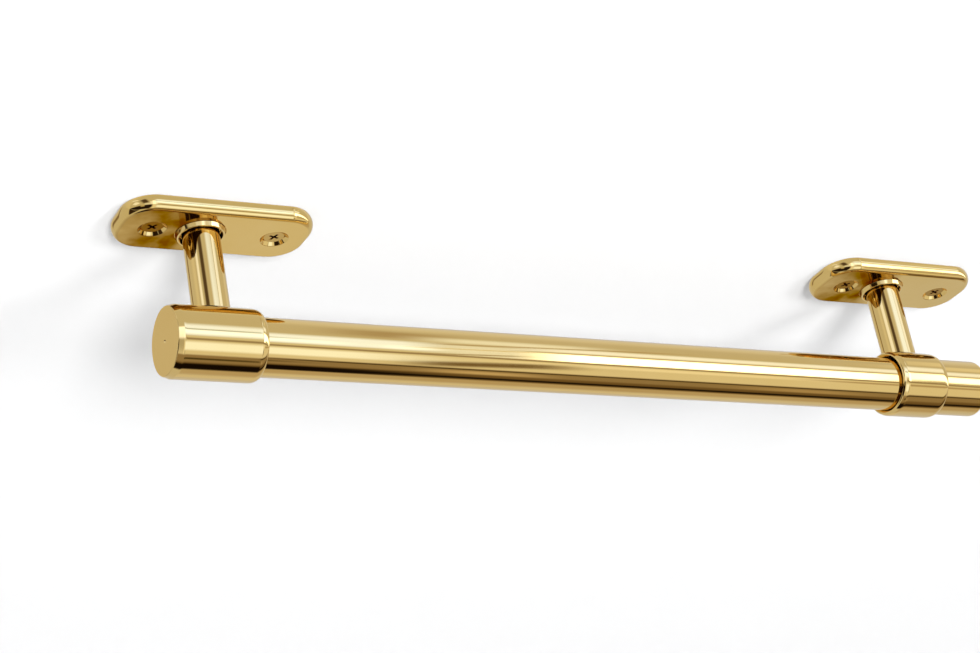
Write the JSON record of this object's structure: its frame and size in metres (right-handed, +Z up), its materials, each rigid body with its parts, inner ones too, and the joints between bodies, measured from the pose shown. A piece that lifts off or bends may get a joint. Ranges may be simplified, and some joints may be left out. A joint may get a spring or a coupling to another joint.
{
  "type": "closet rod",
  "caption": "Polished brass closet rod hung close under a shelf by screwed plates with short stems, a closed socket at one end and an open sleeve with a capped rod end at the other.",
  "frame": {"origin": "where the left stem's axis meets the back face of the left mount plate", "axes": "+X along the rod towards the capped end, +Z up into the surface that the plates are screwed to, +Y towards the back"},
  "size_m": [0.4512, 0.0362, 0.1067],
  "materials": {
    "polished_brass": "mirror polished, clear lacquer",
    "rod_brass": "mirror polished tube",
    "screw_brass": "bright turned",
    "steel": "zinc plated"
  },
  "bodies": {
    "brackets": {"left_mount_plate": "polished_brass", "left_outer_wood_screw": "screw_brass", "left_inner_wood_screw": "screw_brass", "left_stem_ring": "polished_brass", "left_stem": "polished_brass", "left_plate_stud": "steel", "left_rod_socket": "polished_brass", "left_tie_screw": "steel", "right_mount_plate": "polished_brass", "right_outer_wood_screw": "screw_brass", "right_inner_wood_screw": "screw_brass", "right_stem_ring": "polished_brass", "right_stem": "polished_brass", "right_plate_stud": "steel", "right_rod_sleeve": "polished_brass", "right_tie_screw": "steel"},
    "cap": {"end_cap": "polished_brass"},
    "rod": {"rod_tube": "rod_brass"},
    "left_set_screw": {"left_set_screw": "steel"},
    "right_set_screw": {"right_set_screw": "steel"}
  },
  "joints": [
    {"name": "rod_withdrawal", "type": "slide", "parent": "brackets", "child": "cap", "axis": [1, 0, 0], "range_m": [0, 0.38]},
    {"name": "rod_spin", "type": "hinge", "parent": "cap", "child": "rod", "pos_m": [0, 0, -0.0597], "axis": [1, 0, 0], "continuous": true},
    {"name": "left_set_screw_travel", "type": "slide", "parent": "brackets", "child": "left_set_screw", "axis": [0, 1, 0], "range_m": [0, 0.003]},
    {"name": "right_set_screw_travel", "type": "slide", "parent": "brackets", "child": "right_set_screw", "axis": [0, 1, 0], "range_m": [0, 0.003]}
  ]
}
